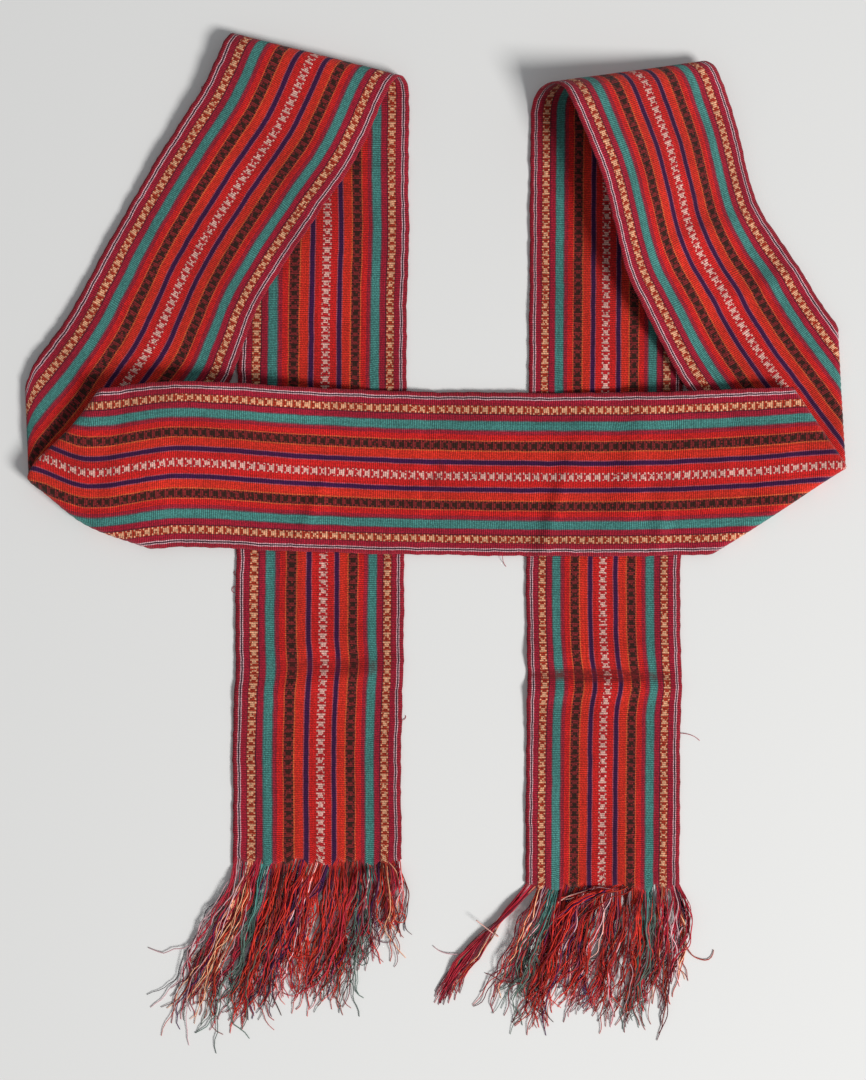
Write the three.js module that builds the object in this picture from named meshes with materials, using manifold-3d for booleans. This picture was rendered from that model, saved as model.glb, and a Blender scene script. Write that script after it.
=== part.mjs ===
// A woven sash laid in a loose H on a flat surface. Each fringed tail is folded over at its top
// into a sloping leg, and the legs run through a twisted corner into the band between them.
// Millimetres, +Z up. The sash lies on z = 0 and its outline is centred on the origin.
import * as THREE from "three";
import { ConvexGeometry } from "three/addons/geometries/ConvexGeometry.js";
import { mergeVertices } from "three/addons/utils/BufferGeometryUtils.js";
import Module from "manifold-3d";

// Driving dimensions
const CLOTH_THICKNESS = 1.2;
const BAND_WIDTH = 122;
const BAND_HEIGHT_UP_THE_LAYOUT = 50.5;
const FLOOR_LEVEL = CLOTH_THICKNESS / 2;

// Where along the cloth its width changes from the band's to the tail's
const WIDTH_CHANGE = { from: 250, to: 500 };

// One row for each side of the band. Lengths run along the cloth from the middle of the band, and
// angles are in degrees. A corner is one point of the cloth where four creases meet.
const SIDES = {
  left: {
    mirror: -1,
    endWidth: 126,
    cornerAlong: 307,
    cornerAcross: -20,
    legTurn: 122,
    outerCrease: 24,
    innerCrease: 54,
    legBow: 4,
    legStraight: 70,
    legLength: 400,
    legNarrowing: 0,
    foldSlip: 7,
    tailHeading: 270.6,
    tailLength: 606,
    cornerRoll: 2.6,
    foldRoll: 6,
  },
  right: {
    mirror: 1,
    endWidth: 118.5,
    cornerAlong: 310,
    cornerAcross: -3,
    legTurn: 125,
    outerCrease: 30.5,
    innerCrease: 57,
    legBow: 15,
    legStraight: 70,
    legLength: 352,
    legNarrowing: 0.05,
    foldSlip: 16,
    tailHeading: 269.6,
    tailLength: 611,
    cornerRoll: 2.6,
    foldRoll: 11,
  },
};

// Height of the band's two edges above the floor
const BAND_RISE = {
  left: [
    { along: 0, inner: 2.6, outer: 2.6 },
    { along: 50, inner: 5, outer: 3.4 },
    { along: 120, inner: 19, outer: 4.4 },
    { along: 180, inner: 27, outer: 5.5 },
    { along: 250, inner: 24, outer: 10 },
    { along: 320, inner: 19, outer: 14 },
  ],
  right: [
    { along: 0, inner: 2.6, outer: 2.6 },
    { along: 90, inner: 3.4, outer: 3.4 },
    { along: 140, inner: 6, outer: 3.8 },
    { along: 190, inner: 13, outer: 4.5 },
    { along: 250, inner: 17, outer: 9 },
    { along: 320, inner: 18, outer: 14 },
  ],
};

// Height of the sloping leg's two edges, from the corner (0) to the fold at the top (1)
const LEG_RISE = {
  left: [
    { along: 0, inner: 7, outer: 6.5 },
    { along: 0.25, inner: 5.5, outer: 5 },
    { along: 0.5, inner: 7, outer: 4 },
    { along: 0.8, inner: 12, outer: 8 },
    { along: 1, inner: 16, outer: 14 },
  ],
  right: [
    { along: 0, inner: 7, outer: 6.5 },
    { along: 0.3, inner: 6, outer: 4 },
    { along: 0.42, inner: 9, outer: 4 },
    { along: 0.6, inner: 29, outer: 5 },
    { along: 0.8, inner: 41, outer: 8 },
    { along: 1, inner: 44, outer: 16 },
  ],
};

// How far a leg's two edges lie inwards of a straight leg's, from the corner (0) to the fold (1)
const LEG_SWAY = {
  left: [
    { along: 0, inner: 0, outer: 0 },
    { along: 0.25, inner: 0, outer: 0 },
    { along: 0.36, inner: 6, outer: 0 },
    { along: 0.43, inner: 1, outer: -1 },
    { along: 0.52, inner: -6.5, outer: -2 },
    { along: 0.62, inner: -6, outer: -2 },
    { along: 0.74, inner: -2, outer: 0 },
    { along: 0.85, inner: 3, outer: 3 },
    { along: 1, inner: 0, outer: 0 },
  ],
  right: [
    { along: 0, inner: 0, outer: 0 },
    { along: 0.2, inner: 0, outer: 0 },
    { along: 0.4, inner: 5, outer: 0 },
    { along: 0.6, inner: 3, outer: 0 },
    { along: 0.8, inner: -2, outer: -4 },
    { along: 0.92, inner: -7, outer: -9 },
    { along: 1, inner: -8, outer: -8 },
  ],
};

// Shares of a leg's length: from where waves across it make it narrower, and how fast they come
const LEG_WAVES = { from: 0.15, steepness: 0.7 };

// Shares of a leg's length between which its creases change from the corner's roll to the fold's
const ROLL_CHANGE = { from: 0.45, to: 0.8 };

// The band isn't laid straight: its drift up the layout, by place from left to right
const BAND_DRIFT = [
  { along: -330, up: 16 },
  { along: -295, up: 13 },
  { along: -256, up: 0 },
  { along: -190, up: 8 },
  { along: -100, up: 3 },
  { along: 0, up: -1 },
  { along: 145, up: -2.5 },
  { along: 230, up: 0.5 },
  { along: 310, up: 5.5 },
];
const DRIFT_FADE = 150;

// The far left side is pushed in: cloth beyond this distance from the middle takes this share of its
// room, and softening is the length over which the push comes on
const LEFT_PUSH = { beyond: 296, share: 0.4, softening: 5 };

// Fringe: locks across a tail's end, given from its left to its right as shares of the width.
// sweep is how far the tips lie to the right of their roots, and drop is how far below them.
const FRINGE_LOCKS = {
  left: [
    { from: 0, to: 0.16, strands: 10, sweep: [-54, -57], drop: [104, 128], waist: 1 },
    { from: 0.18, to: 0.41, strands: 14, sweep: [-57, -50], drop: [133, 138], waist: 1 },
    { from: 0.44, to: 0.6, strands: 10, sweep: [-45, -28], drop: [130, 122], waist: 1 },
    { from: 0.63, to: 0.77, strands: 8, sweep: [-24, -17], drop: [118, 104], waist: 1 },
    { from: 0.8, to: 0.89, strands: 6, sweep: [-15, -9], drop: [98, 74], waist: 1 },
    { from: 0.92, to: 0.99, strands: 6, sweep: [-7, 0], drop: [66, 46], waist: 1 },
  ],
  right: [
    { from: 0.01, to: 0.1, strands: 8, sweep: [-70, -67], drop: [76, 80], waist: 0.5 },
    { from: 0.13, to: 0.3, strands: 10, sweep: [-33, -29], drop: [88, 100], waist: 1 },
    { from: 0.33, to: 0.51, strands: 10, sweep: [-28, -21], drop: [101, 96], waist: 1 },
    { from: 0.54, to: 0.7, strands: 10, sweep: [-19, -13], drop: [99, 106], waist: 1 },
    { from: 0.73, to: 0.89, strands: 10, sweep: [-10, -3], drop: [110, 112], waist: 1 },
    { from: 0.92, to: 0.99, strands: 6, sweep: [-3, 1], drop: [98, 62], waist: 1 },
  ],
};
const STRAND_WIDTH = 1.5;
const STRAND_HEIGHT = 1.1;
const STRAND_LAYERS = 2;
const STRAND_STEPS = 6;
const STRAND_WAVE = 1.1;
const STRAND_WAVES = 1.3;
const STRAND_BEND = 1.35;
const STRAND_TAPER = 0.6;
const STRAND_GAP = 0.3;
const STRAND_UNEVENNESS = 0.1;
const GOLDEN_SHARE = (Math.sqrt(5) - 1) / 2;
const PINCH_END = 0.9;
const SLOPE_STEP = 0.01;
const HEADING_DEPTH = 5;
const HEADING_GAP = 0.3;
const HEADING_HEIGHT = STRAND_LAYERS * STRAND_HEIGHT + (STRAND_LAYERS - 1) * STRAND_GAP;

// How finely the sheet is sampled: sections from key to key along the cloth, columns across it
const SECTIONS = { band: 9, corner: 10, approach: 7, leg: 12, tail: 14 };
const OUTER_COLUMNS = 5;
const INNER_COLUMNS = 7;
const CORNER_MARGIN = 25;
const CORNER_POINT_SPREAD = 7;

// Each crease is softened by averaging the sharp fold over a small round patch of cloth
const PATCH_REACH = 2.4;
const PATCH_STEPS = 9;
const NORMAL_STEP = 3;
const THINNED_NEAR_CORNER = 16;
const LEAST_THICKNESS_SHARE = 0.5;
const POINT_REACH = 10;
const POINT_DIRECTIONS = 24;

// Points nearer than this are one point
const SAME_POINT = 1e-4;

const CLOTH_FINISH = { color: 0xb3262a, roughness: 0.9, metalness: 0 };
const FRINGE_FINISH = { color: 0x9c2733, roughness: 0.95, metalness: 0 };

const { clamp, degToRad, lerp, radToDeg, smoothstep } = THREE.MathUtils;

// A smooth curve through one column of a table, level at both of its ends
function tableAt(rows, column, place) {
  const at = clamp(place, rows[0].along, rows.at(-1).along);
  const after = clamp(rows.findIndex((row) => row.along >= at), 1, rows.length - 1);
  const slope = (i) => {
    if (i === 0 || i === rows.length - 1) return 0;
    return (rows[i + 1][column] - rows[i - 1][column]) / (rows[i + 1].along - rows[i - 1].along);
  };
  const [start, end] = [rows[after - 1], rows[after]];
  const run = end.along - start.along;
  const f = (at - start.along) / run;
  const g = 1 - f;
  return (
    start[column] * (1 + 2 * f) * g * g +
    slope(after - 1) * run * f * g * g +
    end[column] * f * f * (3 - 2 * f) -
    slope(after) * run * f * f * g
  );
}

// The cloth's width, which changes from the band to the tail
function widthAt(along, side) {
  return lerp(BAND_WIDTH, side.endWidth, smoothstep(along, WIDTH_CHANGE.from, WIDTH_CHANGE.to));
}

// A place on the sloping leg seen from above, from its corner: straight at first, then bent evenly
function placeOnLeg(along, across, side) {
  const start = side.legStraight;
  const bend = degToRad(side.legBow) / (side.legLength - start);
  const bent = clamp(along - start, 0, side.legLength - start);
  const past = along - start - bent;
  const first = degToRad(side.legTurn);
  const heading = first - bend * bent;
  const bentX = (Math.sin(first) - Math.sin(heading)) / bend;
  const bentY = (Math.cos(heading) - Math.cos(first)) / bend;
  const x = start * Math.cos(first) + bentX + past * Math.cos(heading);
  const y = start * Math.sin(first) + bentY + past * Math.sin(heading);
  return [x - across * Math.sin(heading), y + across * Math.cos(heading)];
}

// A place mirrored in a line through the corner
function mirrored(x, y, lineAngle) {
  const c = Math.cos(2 * degToRad(lineAngle));
  const s = Math.sin(2 * degToRad(lineAngle));
  return [x * c + y * s, x * s - y * c];
}

// The directions of a corner's four creases on the unfolded cloth
function creasesOf(side) {
  const bandOuter = 180 + side.outerCrease;
  const bandInner = 180 - side.innerCrease;
  return {
    bandOuter,
    bandInner,
    legOuter: (bandOuter + 180 - side.legTurn / 2) % 360,
    legInner: bandInner - side.legTurn / 2,
  };
}

// The fold at the top of a leg: a point on it, its direction, and its normal away from the leg
function foldOf(side) {
  const legHeading = side.legTurn - side.legBow;
  const angle = (legHeading + side.tailHeading) / 2;
  const [x, y] = placeOnLeg(side.legLength, -side.cornerAcross, side);
  return {
    x,
    y,
    directionX: Math.cos(degToRad(angle)),
    directionY: Math.sin(degToRad(angle)),
    awayX: Math.sin(degToRad(angle)),
    awayY: -Math.cos(degToRad(angle)),
    angleOnCloth: angle - legHeading,
  };
}

// The band's height above the floor at a place along and across it
function bandRiseAt(along, share, name) {
  const outer = tableAt(BAND_RISE[name], "outer", along);
  const inner = tableAt(BAND_RISE[name], "inner", along);
  return lerp(outer, inner, clamp(share + 0.5, 0, 1));
}

// Where a point of the cloth lies with every crease sharp. share runs from -0.5 at the outer edge
// to 0.5 at the inner edge, which is the one nearer the middle of the layout.
function sharpPlace(along, share, name) {
  const side = SIDES[name];
  const a = along - side.cornerAlong;
  const b = share * widthAt(along, side) - side.cornerAcross;
  const { bandOuter, bandInner, legOuter, legInner } = creasesOf(side);
  const angle = (radToDeg(Math.atan2(b, a)) + 360) % 360;
  const inward = clamp(share + 0.5, 0, 1);
  const legShare = clamp(a / side.legLength, 0, 1);
  const outerRise = tableAt(LEG_RISE[name], "outer", legShare);
  const innerRise = tableAt(LEG_RISE[name], "inner", legShare);
  const legRise = lerp(outerRise, innerRise, inward);
  const cornerUp = side.cornerAcross + BAND_HEIGHT_UP_THE_LAYOUT;
  const at = (x, y, z) => [x + side.cornerAlong, y + cornerUp, z];

  if (angle >= bandInner && angle <= bandOuter) return at(a, b, bandRiseAt(along, share, name));
  if (angle > bandOuter && angle < legOuter) return at(...mirrored(a, b, bandOuter), FLOOR_LEVEL);
  if (angle >= legInner && angle < bandInner) {
    const [x, y] = mirrored(a, b, bandInner);
    const above = bandRiseAt(x + side.cornerAlong, (y + side.cornerAcross) / BAND_WIDTH, name);
    return at(x, y, (legRise + above) / 2);
  }

  // A leg that leans looks narrower from above, and so does one with waves across it
  const lean = Math.sqrt(1 - ((innerRise - outerRise) / BAND_WIDTH) ** 2);
  const wavy = clamp((legShare - LEG_WAVES.from) / (1 - LEG_WAVES.from), 0, 1);
  const waves = Math.sin(Math.PI * wavy) ** LEG_WAVES.steepness;
  const outerEdge = -BAND_WIDTH / 2 - side.cornerAcross;
  const narrowed = outerEdge + (b - outerEdge) * lean * (1 - side.legNarrowing * waves);
  const outerSway = tableAt(LEG_SWAY[name], "outer", legShare);
  const innerSway = tableAt(LEG_SWAY[name], "inner", legShare);
  const [x, y] = placeOnLeg(a, narrowed + lerp(outerSway, innerSway, inward), side);
  const fold = foldOf(side);
  const past = (x - fold.x) * fold.awayX + (y - fold.y) * fold.awayY;
  if (past <= 0) return at(x, y, legRise);
  return at(
    x - 2 * past * fold.awayX + side.foldSlip * fold.directionX,
    y - 2 * past * fold.awayY + side.foldSlip * fold.directionY,
    FLOOR_LEVEL,
  );
}

// The patch of cloth over which a place is averaged: steps along and across it, with their weights
function patchSteps() {
  const last = PATCH_STEPS - 1;
  const steps = Array.from({ length: PATCH_STEPS }, (_, i) => PATCH_REACH * ((2 * i) / last - 1));
  const weights = steps.map((step) => Math.exp(-step * step / 2));
  const total = weights.reduce((sum, weight) => sum + weight, 0);
  return steps.map((step, i) => ({ step, weight: weights[i] / total }));
}
const PATCH = patchSteps();

// Where a point of the cloth lies, with rounded creases and the band's drift
function softPlace(along, share, name) {
  const side = SIDES[name];
  const legShare = (along - side.cornerAlong) / side.legLength;
  const change = smoothstep(legShare, ROLL_CHANGE.from, ROLL_CHANGE.to);
  const roll = lerp(side.cornerRoll, side.foldRoll, change);
  const place = new THREE.Vector3();
  for (const lengthwise of PATCH) {
    for (const crosswise of PATCH) {
      const [x, y, z] = sharpPlace(
        along + lengthwise.step * roll,
        share + (crosswise.step * roll) / BAND_WIDTH,
        name,
      );
      const weight = lengthwise.weight * crosswise.weight;
      place.x += weight * x * side.mirror;
      place.y += weight * y;
      place.z += weight * z;
    }
  }
  const fade = 1 - smoothstep(Math.abs(place.y - BAND_HEIGHT_UP_THE_LAYOUT), 0, DRIFT_FADE);
  place.y += fade * tableAt(BAND_DRIFT, "up", place.x);
  const beyond = Math.max(-LEFT_PUSH.beyond - place.x, 0);
  place.x += ((1 - LEFT_PUSH.share) * beyond ** 2) / (beyond + LEFT_PUSH.softening);
  return place;
}

// From the middle of the cloth to its upper face, where up is the band's upper face. All the layers
// of a corner meet at one point, so the cloth thins towards it.
function faceOffsetAt(along, share, name) {
  const side = SIDES[name];
  const width = NORMAL_STEP / BAND_WIDTH;
  const [ahead, behind] = [along + NORMAL_STEP, along - NORMAL_STEP];
  const lengthwise = softPlace(ahead, share, name).sub(softPlace(behind, share, name));
  const crosswise = softPlace(along, share + width, name).sub(softPlace(along, share - width, name));
  const fromCorner = Math.hypot(along - side.cornerAlong, share * BAND_WIDTH - side.cornerAcross);
  const thinned = clamp(fromCorner / THINNED_NEAR_CORNER, LEAST_THICKNESS_SHARE, 1);
  return lengthwise.cross(crosswise).setLength((side.mirror * thinned * CLOTH_THICKNESS) / 2);
}

// The places along the cloth, at the outer edge, the corner's column and the inner edge, that the
// mesh follows: straight sections, the two pairs of creases at the corner, and the fold at the top
function keySections(side) {
  const { legOuter, legInner } = creasesOf(side);
  const outer = BAND_WIDTH / 2 + side.cornerAcross;
  const inner = BAND_WIDTH / 2 - side.cornerAcross;
  const cot = (degrees) => 1 / Math.tan(degToRad(degrees));
  const corner = side.cornerAlong;
  const before = {
    outer: corner - outer * cot(side.outerCrease),
    middle: corner - CORNER_POINT_SPREAD,
    inner: corner - inner * cot(side.innerCrease),
  };
  const after = {
    outer: corner + outer * cot(360 - legOuter),
    middle: corner + CORNER_POINT_SPREAD,
    inner: corner + inner * cot(legInner),
  };
  const straight = (along) => ({ outer: along, middle: along, inner: along });
  const skew = cot(foldOf(side).angleOnCloth);
  const top = corner + side.legLength;
  const fold = {
    outer: top - (skew * side.endWidth) / 2,
    middle: top + skew * side.cornerAcross,
    inner: top + (skew * side.endWidth) / 2,
  };
  const bandEnd = Math.min(...Object.values(before)) - CORNER_MARGIN;
  const legStart = Math.max(...Object.values(after)) + CORNER_MARGIN;
  return [
    { section: straight(0) },
    { section: straight(bandEnd), count: SECTIONS.band, dense: "none" },
    { section: before, count: SECTIONS.approach, dense: "end" },
    { section: after, count: SECTIONS.corner, dense: "both" },
    { section: straight(legStart), count: SECTIONS.approach, dense: "start" },
    { section: fold, count: SECTIONS.leg, dense: "end" },
    { section: straight(top + side.tailLength), count: SECTIONS.tail, dense: "start" },
  ];
}

// Shares from 0 to 1, closer together where they are dense
const SPACING = {
  none: (f) => f,
  start: (f) => 1 - Math.cos((f * Math.PI) / 2),
  end: (f) => Math.sin((f * Math.PI) / 2),
  both: (f) => (1 - Math.cos(f * Math.PI)) / 2,
};

// Every section of one side, from the middle of the band to the tail's end
function sectionsOf(side) {
  const keys = keySections(side);
  const sections = [keys[0].section];
  for (let k = 1; k < keys.length; k++) {
    const [from, to] = [keys[k - 1].section, keys[k].section];
    for (let i = 1; i <= keys[k].count; i++) {
      const f = SPACING[keys[k].dense](i / keys[k].count);
      sections.push({
        outer: lerp(from.outer, to.outer, f),
        middle: lerp(from.middle, to.middle, f),
        inner: lerp(from.inner, to.inner, f),
      });
    }
  }
  return sections;
}

// One section's points on both faces of the cloth, from its outer edge to its inner edge
function sectionPoints(section, name) {
  const side = SIDES[name];
  const middle = side.cornerAcross / BAND_WIDTH;
  const places = [];
  for (let i = 0; i < OUTER_COLUMNS; i++) {
    const f = i / OUTER_COLUMNS;
    places.push([lerp(section.outer, section.middle, f), lerp(-0.5, middle, f)]);
  }
  for (let i = 0; i <= INNER_COLUMNS; i++) {
    const f = i / INNER_COLUMNS;
    places.push([lerp(section.middle, section.inner, f), lerp(middle, 0.5, f)]);
  }
  return places.map(([along, share]) => {
    const place = softPlace(along, share, name);
    const offset = faceOffsetAt(along, share, name);
    return { upper: place.clone().add(offset), lower: place.clone().sub(offset) };
  });
}

// One closed sheet from rows of points on its two faces
function closedSheet(rows) {
  const columns = rows[0].length;
  const points = [];
  for (const row of rows) row.forEach((pair) => points.push(...pair.upper.toArray()));
  for (const row of rows) row.forEach((pair) => points.push(...pair.lower.toArray()));
  const lowerStart = rows.length * columns;
  const upper = (i, j) => i * columns + j;
  const lower = (i, j) => lowerStart + i * columns + j;
  const faces = [];
  const quad = (a, b, c, d) => faces.push(a, b, c, a, c, d);
  for (let i = 0; i + 1 < rows.length; i++) {
    for (let j = 0; j + 1 < columns; j++) {
      quad(upper(i, j), upper(i + 1, j), upper(i + 1, j + 1), upper(i, j + 1));
      quad(lower(i, j), lower(i, j + 1), lower(i + 1, j + 1), lower(i + 1, j));
    }
    quad(lower(i, 0), lower(i + 1, 0), upper(i + 1, 0), upper(i, 0));
    const edge = columns - 1;
    quad(lower(i, edge), upper(i, edge), upper(i + 1, edge), lower(i + 1, edge));
  }
  const last = rows.length - 1;
  for (let j = 0; j + 1 < columns; j++) {
    quad(lower(0, j), upper(0, j), upper(0, j + 1), lower(0, j + 1));
    quad(lower(last, j), lower(last, j + 1), upper(last, j + 1), upper(last, j));
  }
  const geometry = new THREE.BufferGeometry();
  geometry.setAttribute("position", new THREE.Float32BufferAttribute(points, 3));
  geometry.setIndex(faces);
  return geometry;
}

// A closed geometry as a solid for joining, with only its points kept and shared
function solidFrom(wasm, geometry) {
  const bare = new THREE.BufferGeometry();
  bare.setAttribute("position", geometry.getAttribute("position").clone());
  bare.setIndex(geometry.index);
  const merged = mergeVertices(bare, SAME_POINT);
  const vertProperties = merged.attributes.position.array;
  const triVerts = new Uint32Array(merged.index.array);
  return new wasm.Manifold(new wasm.Mesh({ numProp: 3, vertProperties, triVerts }));
}

// A joined solid as a three.js geometry
function geometryFrom(solid) {
  const mesh = solid.getMesh();
  const geometry = new THREE.BufferGeometry();
  geometry.setAttribute("position", new THREE.BufferAttribute(mesh.vertProperties, 3));
  geometry.setIndex(new THREE.BufferAttribute(mesh.triVerts, 1));
  return geometry;
}

// The cloth around a corner's point, where every layer meets, pressed into one small solid
function pressedPoint(name) {
  const side = SIDES[name];
  const points = [];
  for (let i = 0; i < POINT_DIRECTIONS; i++) {
    const angle = (2 * Math.PI * i) / POINT_DIRECTIONS;
    const along = side.cornerAlong + POINT_REACH * Math.cos(angle);
    const share = (side.cornerAcross + POINT_REACH * Math.sin(angle)) / BAND_WIDTH;
    const place = softPlace(along, share, name);
    const offset = faceOffsetAt(along, share, name);
    points.push(place.clone().add(offset), place.clone().sub(offset));
  }
  return new ConvexGeometry(points);
}

// The whole cloth, from the end of the left tail to the end of the right one. A pocket that the
// layers close in at a corner comes apart as a body with less than no volume, and is filled.
function sashGeometry(wasm) {
  const rowsOf = (name) => sectionsOf(SIDES[name]).map((section) => sectionPoints(section, name));
  const sheet = closedSheet([...rowsOf("left").slice(1).reverse(), ...rowsOf("right")]);
  let joined = solidFrom(wasm, sheet);
  for (const name of Object.keys(SIDES)) {
    joined = joined.add(solidFrom(wasm, pressedPoint(name)));
  }
  const [cloth] = joined.decompose().sort((a, b) => b.volume() - a.volume());
  return geometryFrom(cloth);
}

// A repeatable share from 0 to 1 for each strand, spread evenly over all of them
function unevenness(number) {
  return (number * GOLDEN_SHARE) % 1;
}

// The outline from above of one strand, from its root at the origin down to its pointed tip
function strandOutline(strand) {
  const middle = (f) => {
    const wave = STRAND_WAVE * f * Math.sin(2 * Math.PI * (STRAND_WAVES * f + strand.phase));
    const gathered = Math.sin(Math.PI * clamp(f / PINCH_END, 0, 1)) ** 2;
    const pinch = strand.offCentre * (strand.waist - 1) * gathered;
    return new THREE.Vector2(strand.sweep * f ** STRAND_BEND + wave + pinch, -strand.drop * f);
  };
  const rootDepth = new THREE.Vector2(0, HEADING_DEPTH / 2);
  const [left, right] = [[], []];
  for (let i = 0; i <= STRAND_STEPS; i++) {
    const f = i / STRAND_STEPS;
    const ahead = middle(Math.min(f + SLOPE_STEP, 1));
    const across = ahead.sub(middle(Math.max(f - SLOPE_STEP, 0))).normalize();
    across.set(across.y, -across.x).multiplyScalar((STRAND_WIDTH / 2) * (1 - STRAND_TAPER * f ** 3));
    const at = i === 0 ? rootDepth : middle(f);
    left.push(at.clone().add(across));
    right.unshift(at.clone().sub(across));
  }
  return new THREE.Shape([...left, ...right]);
}

// The strands of one fringe, each with its root's place across the tail's end
function strandsOf(name, endWidth) {
  const strands = [];
  for (const lock of FRINGE_LOCKS[name]) {
    for (let i = 0; i < lock.strands; i++) {
      const f = (i + 0.5) / lock.strands;
      const number = strands.length;
      strands.push({
        root: (lerp(lock.from, lock.to, f) - 0.5) * endWidth,
        offCentre: (f - 0.5) * (lock.to - lock.from) * endWidth,
        sweep: lerp(lock.sweep[0], lock.sweep[1], f),
        drop: lerp(lock.drop[0], lock.drop[1], f) * (1 - STRAND_UNEVENNESS * unevenness(number)),
        waist: lock.waist,
        phase: f / 2,
        layer: number % STRAND_LAYERS,
      });
    }
  }
  return strands;
}

// One fringe around the middle of its tail's end: a narrow heading with the strands' roots in it
function fringeGeometry(wasm, name) {
  const { endWidth } = SIDES[name];
  const heading = new THREE.BoxGeometry(endWidth, HEADING_DEPTH, HEADING_HEIGHT);
  heading.translate(0, -HEADING_GAP - HEADING_DEPTH / 2, HEADING_HEIGHT / 2);
  let joined = solidFrom(wasm, heading);
  for (const strand of strandsOf(name, endWidth)) {
    const thickness = { depth: STRAND_HEIGHT, bevelEnabled: false };
    const geometry = new THREE.ExtrudeGeometry(strandOutline(strand), thickness);
    geometry.translate(
      strand.root * (1 - STRAND_WIDTH / endWidth),
      -HEADING_GAP - HEADING_DEPTH,
      strand.layer * (STRAND_HEIGHT + STRAND_GAP),
    );
    joined = joined.add(solidFrom(wasm, geometry));
  }
  return geometryFrom(joined);
}

// A named piece with its own finish
function piece(name, geometry, finish) {
  geometry.computeVertexNormals();
  const material = new THREE.MeshStandardMaterial({ ...finish, flatShading: true });
  const mesh = new THREE.Mesh(geometry, material);
  mesh.name = name;
  return mesh;
}

// A fringe set at the end of its tail and turned with it
function placedFringe(wasm, name) {
  const side = SIDES[name];
  const mesh = piece(`fringe_${name}`, fringeGeometry(wasm, name), FRINGE_FINISH);
  const end = softPlace(side.cornerAlong + side.legLength + side.tailLength, 0, name);
  mesh.position.set(end.x, end.y, 0);
  mesh.rotation.z = degToRad(side.tailHeading - 270) * side.mirror;
  return mesh;
}

const wasm = await Module();
wasm.setup();

const laid = new THREE.Group();
laid.add(piece("sash", sashGeometry(wasm), CLOTH_FINISH));
laid.add(placedFringe(wasm, "left"));
laid.add(placedFringe(wasm, "right"));

// The outline is centred on the origin
const outline = new THREE.Box3().setFromObject(laid);
laid.position.set(-(outline.min.x + outline.max.x) / 2, -(outline.min.y + outline.max.y) / 2, 0);

const wovenSash = new THREE.Group();
wovenSash.name = "woven_sash";
wovenSash.add(laid);

export default wovenSash;
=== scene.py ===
"""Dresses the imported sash: striped cloth with rows of stars, two fringes, floor, light and camera.

Shapes are worked out in millimetres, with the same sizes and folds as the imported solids.
"""
import math
from collections import namedtuple
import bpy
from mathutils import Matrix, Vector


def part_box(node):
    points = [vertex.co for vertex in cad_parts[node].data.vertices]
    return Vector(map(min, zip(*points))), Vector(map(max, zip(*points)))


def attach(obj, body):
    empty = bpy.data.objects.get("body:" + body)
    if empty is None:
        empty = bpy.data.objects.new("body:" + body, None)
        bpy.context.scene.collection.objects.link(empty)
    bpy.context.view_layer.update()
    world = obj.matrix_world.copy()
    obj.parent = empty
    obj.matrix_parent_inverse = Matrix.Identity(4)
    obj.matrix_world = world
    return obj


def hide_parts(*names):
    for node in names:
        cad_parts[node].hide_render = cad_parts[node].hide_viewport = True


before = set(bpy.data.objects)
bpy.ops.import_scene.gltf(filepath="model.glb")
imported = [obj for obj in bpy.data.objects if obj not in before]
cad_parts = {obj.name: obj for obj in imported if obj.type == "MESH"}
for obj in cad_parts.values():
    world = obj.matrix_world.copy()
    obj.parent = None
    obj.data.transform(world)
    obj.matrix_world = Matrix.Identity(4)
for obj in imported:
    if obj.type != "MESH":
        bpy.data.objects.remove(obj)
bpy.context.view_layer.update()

from types import SimpleNamespace

import bpy
import numpy as np

MM = 0.001
RANDOM = np.random.default_rng(11)

# Sizes of the cloth, and how far up the layout its band lies

CLOTH_THICKNESS = 1.2
BAND_WIDTH = 122
BAND_UP = 50.5
FLOOR_LEVEL = CLOTH_THICKNESS / 2

# Where along the cloth its width changes, and the share of a leg over which its creases get rounder
WIDTH_CHANGE = (250, 500)
ROLL_CHANGE = (0.45, 0.8)

# A leg's waves, which narrow it: where they start, and how steeply
LEG_WAVES_FROM = 0.15
LEG_WAVES_STEEPNESS = 0.7

# How far from the band its drift fades out, and how the left corner's point is pushed in
DRIFT_FADE = 150
LEFT_PUSH_BEYOND = 296
LEFT_PUSH_SHARE = 0.4
LEFT_PUSH_SOFTENING = 5

# Tables of heights, of moves towards the inner edge and of the band's shift up the layout. A leg's
# tables go by the share of its length
Rise = namedtuple("Rise", "along inner outer")
Sway = namedtuple("Sway", "along inner outer")
Drift = namedtuple("Drift", "along up")

LEFT = SimpleNamespace(
    name="left",
    mirror=-1,
    end_width=126,
    corner_along=307,
    corner_across=-20,
    leg_turn=122,
    outer_crease=24,
    inner_crease=54,
    leg_bow=4,
    leg_straight=70,
    leg_length=400,
    leg_narrowing=0,
    fold_slip=7,
    tail_heading=270.6,
    tail_length=606,
    corner_roll=2.6,
    fold_roll=6,
    band_rise=[
        Rise(0, 2.6, 2.6),
        Rise(50, 5, 3.4),
        Rise(120, 19, 4.4),
        Rise(180, 27, 5.5),
        Rise(250, 24, 10),
        Rise(320, 19, 14),
    ],
    leg_rise=[
        Rise(0, 7, 6.5),
        Rise(0.25, 5.5, 5),
        Rise(0.5, 7, 4),
        Rise(0.8, 12, 8),
        Rise(1, 16, 14),
    ],
    leg_sway=[
        Sway(0, 0, 0),
        Sway(0.25, 0, 0),
        Sway(0.36, 6, 0),
        Sway(0.43, 1, -1),
        Sway(0.52, -6.5, -2),
        Sway(0.62, -6, -2),
        Sway(0.74, -2, 0),
        Sway(0.85, 3, 3),
        Sway(1, 0, 0),
    ],
)
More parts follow.
